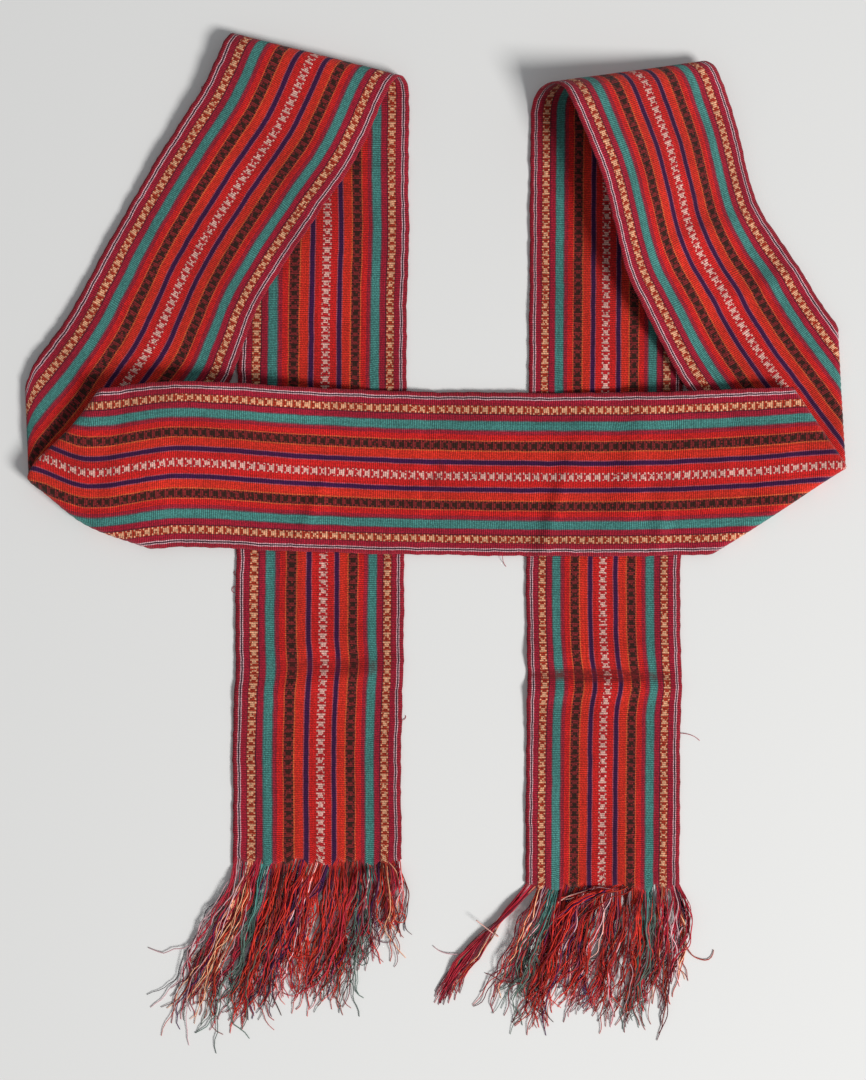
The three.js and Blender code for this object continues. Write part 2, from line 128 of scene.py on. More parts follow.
RIGHT = SimpleNamespace(
    name="right",
    mirror=1,
    end_width=118.5,
    corner_along=310,
    corner_across=-3,
    leg_turn=125,
    outer_crease=30.5,
    inner_crease=57,
    leg_bow=15,
    leg_straight=70,
    leg_length=352,
    leg_narrowing=0.05,
    fold_slip=16,
    tail_heading=269.6,
    tail_length=611,
    corner_roll=2.6,
    fold_roll=11,
    band_rise=[
        Rise(0, 2.6, 2.6),
        Rise(90, 3.4, 3.4),
        Rise(140, 6, 3.8),
        Rise(190, 13, 4.5),
        Rise(250, 17, 9),
        Rise(320, 18, 14),
    ],
    leg_rise=[
        Rise(0, 7, 6.5),
        Rise(0.3, 6, 4),
        Rise(0.42, 9, 4),
        Rise(0.6, 29, 5),
        Rise(0.8, 41, 8),
        Rise(1, 44, 16),
    ],
    leg_sway=[
        Sway(0, 0, 0),
        Sway(0.2, 0, 0),
        Sway(0.4, 5, 0),
        Sway(0.6, 3, 0),
        Sway(0.8, -2, -4),
        Sway(0.92, -7, -9),
        Sway(1, -8, -8),
    ],
)
BAND_DRIFT = [
    Drift(-330, 16),
    Drift(-295, 13),
    Drift(-256, 0),
    Drift(-190, 8),
    Drift(-100, 3),
    Drift(0, -1),
    Drift(145, -2.5),
    Drift(230, 0.5),
    Drift(310, 5.5),
]

# How finely the cloth is sampled: steps along it, and the stretches that take the fine ones
PLAIN_STEP = 3.8
CORNER_STEP = 1.7
FOLD_STEP = 2.2
CORNER_STRETCH = 110
FOLD_STRETCH = 90
STRETCH_STEEPNESS = 4
FINE_PLACES = 4000
COLUMNS = 48
OUTLINE_COLUMNS = 25

# Creases are rounded by a mean over a patch: its reach in rolls of the crease, and its steps each way
PATCH_REACH = 2.4
PATCH_STEPS = 11

# Unevenness of the woven edge: how far it wanders, the lengths of its waves, what sets their phases,
# and how close to the edge it keeps
EDGE_WANDER = 0.34
EDGE_WAVES = (9, 17, 41, 90)
EDGE_PHASE = 1.7
INNER_EDGE_SALT = 1.0
OUTER_EDGE_SALT = 2.3
EDGE_NARROWNESS = 5

# Soft waves of the whole cloth
Wave = namedtuple("Wave", "height length_along length_across phase")
WAVES = [
    Wave(0.22, 61, 140, 0.4),
    Wave(0.16, 37, -95, 2.1),
    Wave(0.12, 23, 60, 4.0),
    Wave(0.1, 15, -44, 5.2),
]

# Creases: place along the cloth (less than 0 on the left), slant as the shift along
# over the whole width, half width, height (less than 0 for a trough), the share across the cloth at
# which it is highest, and its reach from there as a share
Crease = namedtuple("Crease", "along slant half_width height middle reach")
CREASES = [
    Crease(1124, 5, 6.0, 3.4, 0.0, 1.2),
    Crease(1096, 6, 8.0, 1.8, 0.1, 0.9),
    Crease(1150, -10, 10.0, 1.2, 0.2, 0.5),
    Crease(-1178, 24, 7.0, 2.2, 0.05, 0.6),
    Crease(-1150, 20, 8.0, 1.2, 0.1, 0.6),
    Crease(-800, 14, 5.0, 1.4, 0.2, 0.4),
    Crease(-246, 40, 9.0, -1.6, 0.1, 0.6),
    Crease(-205, 34, 9.0, 1.3, 0.0, 0.6),
    Crease(233, -30, 9.0, -1.2, 0.1, 0.5),
    Crease(262, -26, 8.0, 1.0, -0.1, 0.5),
    Crease(470, 22, 9.0, 3.0, -0.2, 0.45),
    Crease(497, 24, 8.0, -1.8, -0.15, 0.4),
    Crease(521, 20, 8.0, 2.6, -0.1, 0.35),
    Crease(98, 33, 4.6, 4.2, -0.28, 0.3),
    Crease(106, 20, 15.0, 2.4, -0.1, 0.5),
    Crease(150, 10, 13.0, 3.2, 0.08, 0.4),
    Crease(174, 14, 4.6, 3.4, -0.32, 0.17),
    Crease(-77, 50, 4.6, 3.4, -0.2, 0.2),
    Crease(-14, -6, 6.0, 1.1, 0.0, 0.8),
]
DEEPEST_TROUGH = -1.5

# Places where the cloth is shoved sideways, to the right: place along it, how far, half the length,
# and how much of that its edges take
Shove = namedtuple("Shove", "along sideways half_length edges")
SHOVES = [
    Shove(1119, 3.4, 17, 0.2),
    Shove(1040, -1.0, 40, 1),
    Shove(-1165, 1.6, 14, 0.3),
    Shove(-1230, -1.0, 40, 1),
    Shove(-840, 1.0, 30, 1),
    Shove(518, -5.0, 30, 1),
    Shove(592, 2.6, 26, 1),
]

# Loose threads at the edges: place along and across the cloth, length, and how far it curls round
Thread = namedtuple("Thread", "along share length curl")
THREADS = [
    Thread(-1109, -0.5, 9, 3.0),
    Thread(-1102, -0.5, 6, -2.5),
    Thread(-1206, 0.5, 6, 2.0),
    Thread(1157, -0.5, 17, -0.8),
    Thread(52, -0.5, 10, 0.7),
    Thread(-75, 0.5, 5, 1.5),
    Thread(905, 0.5, 5, 2.0),
    Thread(-640, -0.5, 6, -1.5),
]
THREAD_RADIUS = 0.22
THREAD_OVERLAP = 1.5
THREAD_CURL_POWER = 1.5
THREAD_LANDING = (0.2, 0.9)
JUST_INSIDE = 0.97

# The weave: the length of a pick and the width of a thread

PICK = 1.32
GRAIN = 0.62
HALF_WIDTH = BAND_WIDTH / 2
COLOURS = {
    "crimson": (178, 34, 54),
    "white": (240, 190, 196),
    "ink": (42, 14, 36),
    "magenta": (180, 28, 54),
    "plum": (116, 26, 46),
    "rust": (184, 54, 28),
    "gold": (252, 182, 140),
    "grey": (116, 84, 92),
    "teal": (80, 150, 142),
    "red": (228, 34, 32),
    "vermilion": (234, 50, 32),
    "orange": (228, 98, 52),
    "brown": (142, 40, 42),
    "black": (64, 30, 20),
    "pink": (184, 82, 96),
    "purple": (68, 14, 72),
    "rose": (210, 36, 42),
    "cream": (252, 192, 178),
    "wine": (104, 12, 18),
    "worn": (118, 120, 106),
    "madder": (208, 44, 32),
}

# Stripes from an edge to the middle, which the other half mirrors
Stripe = namedtuple("Stripe", "width colour")
STRIPES = [
    Stripe(3.2, "crimson"),
    Stripe(0.7, "white"),
    Stripe(0.95, "ink"),
    Stripe(0.85, "white"),
    Stripe(3.6, "magenta"),
    Stripe(0.56, "plum"),
    Stripe(5.64, "rust"),
    Stripe(1.1, "plum"),
    Stripe(3.7, "magenta"),
    Stripe(0.8, "grey"),
    Stripe(6.0, "teal"),
    Stripe(0.8, "grey"),
    Stripe(2.82, "crimson"),
    Stripe(3.88, "red"),
    Stripe(0.9, "orange"),
    Stripe(6.49, "brown"),
    Stripe(0.95, "orange"),
    Stripe(5.75, "vermilion"),
    Stripe(0.8, "pink"),
    Stripe(3.03, "purple"),
    Stripe(0.8, "pink"),
    Stripe(4.57, "red"),
    Stripe(3.11, "rose"),
]

# Rows of stars: the stripe that each lies on, its colour, and how far its first star is moved along.
# The star's chart has one row for each pick, from the star's middle column outwards
StarRow = namedtuple("StarRow", "stripe colour shift")
STAR = ["001", "110", "110", "111", "000"]
STAR_ROWS = [
    StarRow("rust", "gold", 0.15),
    StarRow("brown", "black", 0.55),
    StarRow("rose", "cream", 0.35),
]
STAR_COLUMN_EDGES = (0, 0.25, 0.58, 1)
DROPPED_FLOATS = 0.07

# Painted shade in the gap between two ribs of the weave, where the dark weft also shows: how much
# light of each colour is left in it, how far up the rib it reaches, and how strong it is
GAP_SHADE_TONE = (0.22, 0.2, 0.22)
GAP_SHADE_END = 0.95
GAP_SHADE_STRENGTH = 0.9

# Noises: waves for each millimetre along and across, and detail. Most values of a noise lie in its
# spread, and tones are what a colour is multiplied by at both ends of that
Noise = namedtuple("Noise", "per_along per_across detail")
NOISE_SPREAD = (0.25, 0.75)
BEAT_NOISE = Noise(0.03, 0.02, 2.0)
BEAT_SHIFT = 6.0
WANDER_NOISE = Noise(0.06, 0.05, 2.0)
WANDER_SHIFT = 1.0
FLECK_TONES = (0.7, 1.25)
STREAK_NOISE = Noise(0.006, 1.9, 3.0)
STREAK_TONES = (0.75, 1.2)
CLOUD_NOISE = Noise(0.014, 0.03, 3.0)
CLOUD_TONES = (0.82, 1.12)

# Heights of the weave for its shading, and plain values of its shader
Bump = namedtuple("Bump", "strength distance")
WEAVE_BUMP = Bump(0.75, 0.5)
GRAIN_DEPTH = 0.5
FUZZ_NOISE = Noise(1.7, 2.6, 4.0)
FUZZ_HEIGHT = 0.35
CLOTH_FINISH = {
    "Roughness": 0.88,
    "Specular IOR Level": 0.2,
    "Sheen Weight": 0.12,
    "Sheen Roughness": 0.5,
}

# Slanting lines of the plied yarn, which show on the tails
HATCH_PITCH = 2.4
HATCH_DEPTH = 0.16
HATCH_EDGE = (-0.2, 0.9)
HATCH_FROM = (700, 780)

# How far the middle stripe lies from the middle of the cloth, towards the inner edge
StripeShift = namedtuple("StripeShift", "along inward")
STRIPE_SHIFT = [
    StripeShift(-1320, 2.6),
    StripeShift(-900, 2.2),
    StripeShift(-400, 0),
    StripeShift(0, -1.4),
    StripeShift(400, 0),
    StripeShift(1280, 0.4),
]

# Stains and painted crease shade: place along and across the cloth, half length, half width and
# strength
StainOrShade = namedtuple("StainOrShade", "along across half_length half_width strength")
STAINS_AND_CREASE_SHADE = [
    StainOrShade(2, -4, 5, 6, 0.5),
    StainOrShade(6, 6, 4, 4, 0.45),
    StainOrShade(-4, -15, 4, 3, 0.4),
    # Painted shade: a dark line across the right tail, on the crease's side nearer the band
    StainOrShade(1114, 10, 4.5, 50, 0.85),
    # Painted shade: a dark line across the left tail, on the crease's side nearer the band
    StainOrShade(-1166, 8, 6, 36, 0.45),
    StainOrShade(-120, 20, 30, 14, 0.12),
]
STAIN_AND_SHADE_END = 2.2
BLOT_NOISE = Noise(0.25, 0.25, 2.0)
BLOT_SPREAD = (0.3, 0.6)
BLOT_STRENGTHS = (0.35, 1.0)

# The fringes: locks across a tail's end, from its left to its right as shares of the width. sweep is
# how far the tips lie to the right of their roots, drop is how far below them, bulge is how far the
# middle of a lock lies to the right of the straight line, and hang is how late it turns down. pile is
# how high it is heaped, waist is how narrow it is pinched, and loose is how freely its yarns part
Lock = namedtuple("Lock", "first last wisps sweep drop bulge hang pile waist loose")
FRINGE_LOCKS = {
    "left": [
        Lock(0, 0.15, 11, -60, 128, 4, 1, 4, 1, 1),
        Lock(0.08, 0.3, 14, -46, 138, 3, 1, 5, 1, 1),
        Lock(0.24, 0.48, 15, -38, 128, 0, 1, 6, 1, 1),
        Lock(0.42, 0.66, 15, -31, 116, -3, 1, 6, 1, 1),
        Lock(0.58, 0.8, 14, -20, 114, 2, 1, 7, 1, 1),
        Lock(0.73, 0.92, 12, -13, 86, 5, 1, 7, 1, 1),
        Lock(0.88, 0.995, 8, -3, 56, 4, 1, 5, 1, 1),
    ],
    "right": [
        Lock(0.005, 0.1, 10, -72, 82, -6, 1, 4, 0.12, 0.3),
        Lock(0.1, 0.24, 9, -37, 92, -7, 1.1, 6, 1, 1),
        Lock(0.18, 0.44, 15, -39, 106, -2, 1.1, 7, 1, 1),
        Lock(0.36, 0.62, 15, -30, 104, -3, 1, 7, 1, 1),
        Lock(0.5, 0.74, 5, -66, 66, -16, 2.6, 9, 1, 1),
        Lock(0.54, 0.79, 14, -15, 107, 2, 1, 8, 1, 1),
        Lock(0.72, 0.93, 13, -8, 110, 5, 1, 7, 1, 1),
        Lock(0.9, 0.995, 8, -15, 90, 13, 1, 5, 1, 1),
    ],
}
YARNS_IN_A_WISP = (4, 7)
YARN_RADIUS = 0.41
YARN_SIDES = 5
YARN_STEPS = 30
ROOT_OVERLAP = 4
END_MARGIN = 0.004
LOOPED_SHARE = 0.05

# The run of a lock, by shares of its length: a late lock first drops below the cloth's end, a plain
# lock keeps about its width, and a pinched one has its waist and is wide and then narrow below it
SWEEP_POWER = 1.2
HEADING_DROP = 10
HEADING_END = 0.12
LOCK_PLACES = (0, 0.25, 1)
LOCK_WIDTHS = (1, 0.8, 0.95)
PINCHED_PLACES = (0, 0.4, 0.7, 1)
PINCHED_WIDTHS_BELOW = (2, 0.5)

# Wisps: where each lies in its part of the lock, their lengths, how far their tips spread, how high
# they are heaped, and how far aside their yarns have their roots
WISPS = SimpleNamespace(
    places=(0.1, 0.9),
    longest=1.06,
    shortening=0.36,
    spread=7.5,
    piles=(0.2, 1),
    reach=0.8,
)

# Yarns: lengths, how far their tips curl and fall, how they rise from the root and land on the floor,
# and how thick they are
YARNS = SimpleNamespace(
    lengths=(0.88, 1.06),
    plain_curl=0.4,
    loop_curl=4,
    tip_from=0.55,
    tip_power=1.5,
    tip_fall=0.45,
    heap_power=0.7,
    heap_over=(0.03, 0.2),
    own_rise=1.6,
    own_over=(0.03, 0.15),
    landing=(0.3, 0.8),
    thickness=(0.75, 1.15),
    taper=0.35,
    taper_power=8,
)

# Colours of the yarns: shares of yarn in a star's colour and of strayed yarn, what is dyed deeper than
# the cloth, how tones differ, and how far the yarns turn grey-green towards their tips
STAR_YARN_SHARE = 0.4
STRAYED_SHARE = 0.28
STRAYED_COLOURS = (
    "crimson", "crimson", "magenta", "madder", "madder", "rust",
    "wine", "plum", "purple", "plum", "worn", "white",
)
DEEPER_YARNS = {"red": "madder", "vermilion": "madder", "rose": "madder", "orange": "rust"}
YARN_TONES = (0.5, 1.6)
GREY_GREEN_TONES = (0.3, 0.9)
GREYING_OVER = (0.08, 0.48)
GREYING_SHARE = 0.04
GREYING_SHARES = {"teal": 0.75}

# The look of a yarn: its patches, and its twist, with painted shade in the twist's grooves
PATCH_NOISE = Noise(0.2, 1.0, 2.0)
PATCH_TONES = (0.75, 1.15)
TWISTS_PER_MM = 0.9
TWIST_SHADE_END = 0.6
TWIST_SHADE_TONES = (0.7, 1.0)
TWIST_BUMP = Bump(0.6, 0.2)
YARN_FINISH = {
    "Roughness": 0.65,
    "Specular IOR Level": 0.25,
    "Sheen Weight": 0.04,
    "Sheen Roughness": 0.5,
}

# How a wisp and each of its yarns swing from side to side: swing in degrees and length of the wave
Swing = namedtuple("Swing", "degrees shortest longest")
SWING_SPREAD = (0.4, 1.3)
WISP_SWINGS = [Swing(17, 50, 110), Swing(15, 24, 46)]
YARN_SWINGS = [Swing(15, 40, 90), Swing(16, 13, 24)]

# A pale thread round the pinched lock of the right fringe
BINDING = SimpleNamespace(
    middle=np.array([45.5, -294, 3.6]),
    heading=math.radians(-38),
    half_width=4.2,
    half_height=3.1,
    free_end=17,
    wound_share=0.6,
    radius=0.4,
)

# The cut end of the cloth is a little ragged: how far, in waves across it, and how far up the cloth
RAGGED_ENDS = 5
RAGGED_WAVES = (7, 17, 31)
RAGGED_REACH = 20

# Floor, light and camera. The floor's reach and the light's distance and size are in metres

PHOTO_SIZE = (866, 1080)
MM_PER_PIXEL = 0.75
CAMERA_HEIGHT = 1250
FLOOR_REACH = 4.0
FLOOR_GAP = 0.2
FLOOR_FINISH = {
    "Base Color": (0.79, 0.79, 0.78, 1),
    "Roughness": 0.9,
    "Specular IOR Level": 0.1,
}
KEY_DIRECTION = (0.72, -0.48, 0.74)
KEY_DISTANCE = 5.5
KEY_SIZE = 1.8
KEY_POWER = 306
KEY_COLOUR = (1, 0.99, 0.975)
SKY_COLOUR = (0.95, 0.97, 1, 1)
SKY_STRENGTH = 0.31

# Sockets of the node that mixes colours, whose names aren't unique
MIX_FIRST_COLOUR = 6
MIX_SECOND_COLOUR = 7
MIX_COLOUR_RESULT = 2

# Places on the cloth in its shader, in millimetres
Places = namedtuple("Places", "along across")

# Keeps a length from being 0 where it is divided by
TINY = 1e-9


# Folding the cloth

def smoothstep(value, start, end):
    share = np.clip((value - start) / (end - start), 0, 1)
    return share * share * (3 - 2 * share)


def mixed(start, end, share):
    return start + (end - start) * share


def table_at(rows, column, place):
    """A smooth curve through one column of a table, level at both of its ends."""
    along = np.array([row.along for row in rows], float)
    value = np.array([getattr(row, column) for row in rows], float)
    slope = np.zeros_like(value)
    slope[1:-1] = (value[2:] - value[:-2]) / (along[2:] - along[:-2])
    at = np.clip(place, along[0], along[-1])
    i = np.clip(np.searchsorted(along, at, side="right") - 1, 0, len(along) - 2)
    run = along[i + 1] - along[i]
    f = (at - along[i]) / run
    g = 1 - f
    return (
        value[i] * (1 + 2 * f) * g * g
        + slope[i] * run * f * g * g
        + value[i + 1] * f * f * (3 - 2 * f)
        - slope[i + 1] * run * f * f * g
    )


def width_at(along, side):
    return mixed(BAND_WIDTH, side.end_width, smoothstep(along, *WIDTH_CHANGE))


def place_on_leg(along, across, side):
    """A place on the sloping leg from above, from its corner: straight, then bent evenly."""
    start = side.leg_straight
    bend = math.radians(side.leg_bow) / (side.leg_length - start)
    bent = np.clip(along - start, 0, side.leg_length - start)
    past = along - start - bent
    first = math.radians(side.leg_turn)
    heading = first - bend * bent
    bent_x = (math.sin(first) - np.sin(heading)) / bend
    bent_y = (np.cos(heading) - math.cos(first)) / bend
    x = start * math.cos(first) + bent_x + past * np.cos(heading)
    y = start * math.sin(first) + bent_y + past * np.sin(heading)
    return x - across * np.sin(heading), y + across * np.cos(heading)


def mirrored(x, y, line_angle):
    """A place mirrored in a line through the corner."""
    cosine = math.cos(2 * math.radians(line_angle))
    sine = math.sin(2 * math.radians(line_angle))
    return x * cosine + y * sine, x * sine - y * cosine


def band_rise_at(along, share, side):
    inward = np.clip(share + 0.5, 0, 1)
    outer = table_at(side.band_rise, "outer", along)
    inner = table_at(side.band_rise, "inner", along)
    return mixed(outer, inner, inward)


def sharp_place(along, share, side):
    """Where points of the cloth lie with every crease sharp."""
    a = along - side.corner_along
    b = share * width_at(along, side) - side.corner_across
    band_outer = 180 + side.outer_crease
    band_inner = 180 - side.inner_crease
    leg_outer = (band_outer + 180 - side.leg_turn / 2) % 360
    leg_inner = band_inner - side.leg_turn / 2
    angle = np.degrees(np.arctan2(b, a)) % 360
    on_band = (angle >= band_inner) & (angle <= band_outer)
    under = (angle > band_outer) & (angle < leg_outer)
    tucked = (angle >= leg_inner) & (angle < band_inner)

    inward = np.clip(share + 0.5, 0, 1)
    leg_share = np.clip(a / side.leg_length, 0, 1)
    outer_rise = table_at(side.leg_rise, "outer", leg_share)
    inner_rise = table_at(side.leg_rise, "inner", leg_share)
    leg_rise = mixed(outer_rise, inner_rise, inward)
    under_x, under_y = mirrored(a, b, band_outer)
    tucked_x, tucked_y = mirrored(a, b, band_inner)
    above_share = (tucked_y + side.corner_across) / BAND_WIDTH
    above = band_rise_at(tucked_x + side.corner_along, above_share, side)

    lean = np.sqrt(1 - ((inner_rise - outer_rise) / BAND_WIDTH) ** 2)
    wavy = np.clip((leg_share - LEG_WAVES_FROM) / (1 - LEG_WAVES_FROM), 0, 1)
    waves = np.abs(np.sin(np.pi * wavy)) ** LEG_WAVES_STEEPNESS
    outer_edge = -BAND_WIDTH / 2 - side.corner_across
    narrowed = outer_edge + (b - outer_edge) * lean * (1 - side.leg_narrowing * waves)
    outer_sway = table_at(side.leg_sway, "outer", leg_share)
    inner_sway = table_at(side.leg_sway, "inner", leg_share)
    leg_x, leg_y = place_on_leg(a, narrowed + mixed(outer_sway, inner_sway, inward), side)
    fold_x, fold_y = place_on_leg(float(side.leg_length), -float(side.corner_across), side)
    fold_angle = math.radians((side.leg_turn - side.leg_bow + side.tail_heading) / 2)
    away_x, away_y = math.sin(fold_angle), -math.cos(fold_angle)
    past = (leg_x - fold_x) * away_x + (leg_y - fold_y) * away_y
    on_tail = ~(on_band | under | tucked) & (past > 0)
    tail_x = leg_x - 2 * past * away_x + side.fold_slip * math.cos(fold_angle)
    tail_y = leg_y - 2 * past * away_y + side.fold_slip * math.sin(fold_angle)

    parts = [on_band, under, tucked, on_tail]
    x = np.select(parts, [a, under_x, tucked_x, tail_x], leg_x)
    y = np.select(parts, [b, under_y, tucked_y, tail_y], leg_y)
    band_rise = band_rise_at(along, share, side)
    z = np.select(parts, [band_rise, FLOOR_LEVEL, (leg_rise + above) / 2, FLOOR_LEVEL], leg_rise)
    return np.stack([x + side.corner_along, y + side.corner_across + BAND_UP, z])


def soft_place(along, share, side):
    """Where points of the cloth lie, with rounded creases and the band's drift."""
    leg_share = (along - side.corner_along) / side.leg_length
    roll = mixed(side.corner_roll, side.fold_roll, smoothstep(leg_share, *ROLL_CHANGE))
    steps = np.linspace(-PATCH_REACH, PATCH_REACH, PATCH_STEPS)
    weights = np.exp(-steps * steps / 2)
    weights /= weights.sum()
    place = np.zeros((3,) + np.broadcast(along, share).shape)
    for lengthwise, weight_along in zip(steps, weights):
        for crosswise, weight_across in zip(steps, weights):
            moved = sharp_place(along + lengthwise * roll, share + crosswise * roll / BAND_WIDTH, side)
            place += weight_along * weight_across * moved
    place[0] *= side.mirror
    fade = 1 - smoothstep(np.abs(place[1] - BAND_UP), 0, DRIFT_FADE)
    place[1] += fade * table_at(BAND_DRIFT, "up", place[0])
    beyond = np.maximum(-LEFT_PUSH_BEYOND - place[0], 0)
    place[0] += (1 - LEFT_PUSH_SHARE) * beyond**2 / (beyond + LEFT_PUSH_SOFTENING)
    return np.moveaxis(place, 0, -1)


# The cloth's mesh

def end_of(side):
    return side.corner_along + side.leg_length + side.tail_length


def rows_along(side):
    """Places along one side of the cloth, closer together at its corner and its fold."""
    fine = np.linspace(0, end_of(side), FINE_PLACES)
    fold = side.corner_along + side.leg_length
    near_corner = np.exp(-(((fine - side.corner_along) / CORNER_STRETCH) ** STRETCH_STEEPNESS))
    near_fold = np.exp(-(((fine - fold) / FOLD_STRETCH) ** STRETCH_STEEPNESS))
    step = mixed(mixed(PLAIN_STEP, FOLD_STEP, near_fold), CORNER_STEP, near_corner)
    count = np.concatenate([[0], np.cumsum(np.diff(fine) / step[1:])])
    return np.interp(np.linspace(0, count[-1], math.ceil(count[-1]) + 1), count, fine)


def edge_wander(along, salt):
    """How far one edge of the cloth wanders outwards. The salt makes the two edges differ."""
    total = np.zeros_like(along)
    for number, length in enumerate(EDGE_WAVES):
        total += np.sin(2 * np.pi * along / length + salt * (number + EDGE_PHASE))
    return EDGE_WANDER * total / math.sqrt(len(EDGE_WAVES))


def ragged_end(share):
    """How much farther the cloth reaches at its cut end than its measured length."""
    waves = sum(np.sin(wave * share * math.pi + wave) for wave in RAGGED_WAVES)
    return RAGGED_ENDS * waves / len(RAGGED_WAVES)


def relief(along, share):
    """Soft waves and creases that lift the cloth, in millimetres."""
    lift = np.zeros(np.broadcast(along, share).shape)
    across = share * BAND_WIDTH
    for wave in WAVES:
        turns = along / wave.length_along + across / wave.length_across
        lift += wave.height * (1 + np.sin(2 * np.pi * turns + wave.phase))
    for crease in CREASES:
        off = (along - crease.along - crease.slant * share) / crease.half_width
        reach = np.exp(-(((share - crease.middle) / crease.reach) ** 2))
        lift += crease.height * reach * np.exp(-off * off)
    return np.maximum(lift, DEEPEST_TROUGH)


def cloth_grid():
    """Places of the cloth's middle surface, with the distance along and the share across."""
    share = np.linspace(-0.5, 0.5, COLUMNS)[None, :]
    near_edge = np.abs(2 * share) ** EDGE_NARROWNESS
    halves = []
    for side in (LEFT, RIGHT):
        along = rows_along(side)[:, None]
        signed = along * side.mirror
        inner = edge_wander(signed, INNER_EDGE_SALT)
        outer = edge_wander(signed, OUTER_EDGE_SALT)
        outwards = np.where(share > 0, inner, outer)
        wandered = share * (1 + 2 * outwards / BAND_WIDTH * near_edge)
        near_end = smoothstep(along, end_of(side) - RAGGED_REACH, end_of(side))
        halves.append((signed, soft_place(along + ragged_end(share) * near_end, wandered, side)))
    (left_along, left), (right_along, right) = halves
    along = np.concatenate([left_along[:0:-1], right_along])
    place = np.concatenate([left[:0:-1], right])
    for shove in SHOVES:
        bowed = mixed(1, shove.edges, (2 * share) ** 2)
        near = np.exp(-(((along - shove.along) / shove.half_length) ** 2))
        place[..., 0] += shove.sideways * bowed * near
    place[..., 2] += relief(along, share)
    return place, along, share


def faces_of(rows, columns):
    """Quads of a closed sheet of two faces, each a grid of rows and columns."""
    index = np.arange(rows * columns).reshape(rows, columns)
    lower = index + rows * columns

    def quads(grid):
        corners = [grid[:-1, :-1], grid[1:, :-1], grid[1:, 1:], grid[:-1, 1:]]
        return np.stack(corners, -1).reshape(-1, 4)

    def wall(top, bottom):
        return np.stack([bottom[:-1], bottom[1:], top[1:], top[:-1]], -1)

    return np.concatenate([
        quads(index),
        quads(lower)[:, ::-1],
        wall(index[:, 0], lower[:, 0]),
        wall(index[:, -1], lower[:, -1])[:, ::-1],
        wall(index[0], lower[0])[:, ::-1],
        wall(index[-1], lower[-1]),
    ])


def mesh_object(name, points, faces, uv=None, colours=None):
    """A smooth mesh object from points in metres, with a UV map or a colour for each point."""
    mesh = bpy.data.meshes.new(name)
    mesh.from_pydata(points.tolist(), [], [list(map(int, face)) for face in faces])
    corners = np.empty(len(mesh.loops), int)
    mesh.loops.foreach_get("vertex_index", corners)
    if uv is not None:
        layer = mesh.uv_layers.new(name="weave")
        layer.data.foreach_set("uv", uv[corners].ravel())
    if colours is not None:
        attribute = mesh.color_attributes.new("yarn", "FLOAT_COLOR", "POINT")
        attribute.data.foreach_set("color", colours.ravel())
    mesh.polygons.foreach_set("use_smooth", np.ones(len(mesh.polygons), bool))
    mesh.update()
    made = bpy.data.objects.new(name, mesh)
    bpy.context.scene.collection.objects.link(made)
    return made


def stripe_place(along, share):
    """The place across the stripes, in millimetres from the middle stripe."""
    shift = table_at(STRIPE_SHIFT, "inward", along) / HALF_WIDTH
    off_centre = 2 * share - shift
    return HALF_WIDTH * off_centre / np.where(off_centre > 0, 1 - shift, 1 + shift)


def sash_object(shift):
    place, along, share = cloth_grid()
    lengthwise = np.gradient(place, axis=0)
    crosswise = np.gradient(place, axis=1)
    normal = np.cross(lengthwise, crosswise)
    normal /= np.linalg.norm(normal, axis=-1, keepdims=True)
    half = normal * CLOTH_THICKNESS / 2
    points = np.concatenate([(place + half).reshape(-1, 3), (place - half).reshape(-1, 3)])
    points[:, 2] = np.maximum(points[:, 2], 0)
    uv = np.stack(np.broadcast_arrays(along, stripe_place(along, share)), -1).reshape(-1, 2)
    faces = faces_of(*place.shape[:2])
    return mesh_object("sash_cloth", points * MM + shift, faces, uv=np.concatenate([uv, uv]) * MM)


# Materials

def linear(name):
    """A named colour as linear light, by the sRGB curve."""
    share = np.array(COLOURS[name]) / 255
    light = np.where(share <= 0.04045, share / 12.92, ((share + 0.055) / 1.055) ** 2.4)
    return tuple(light)


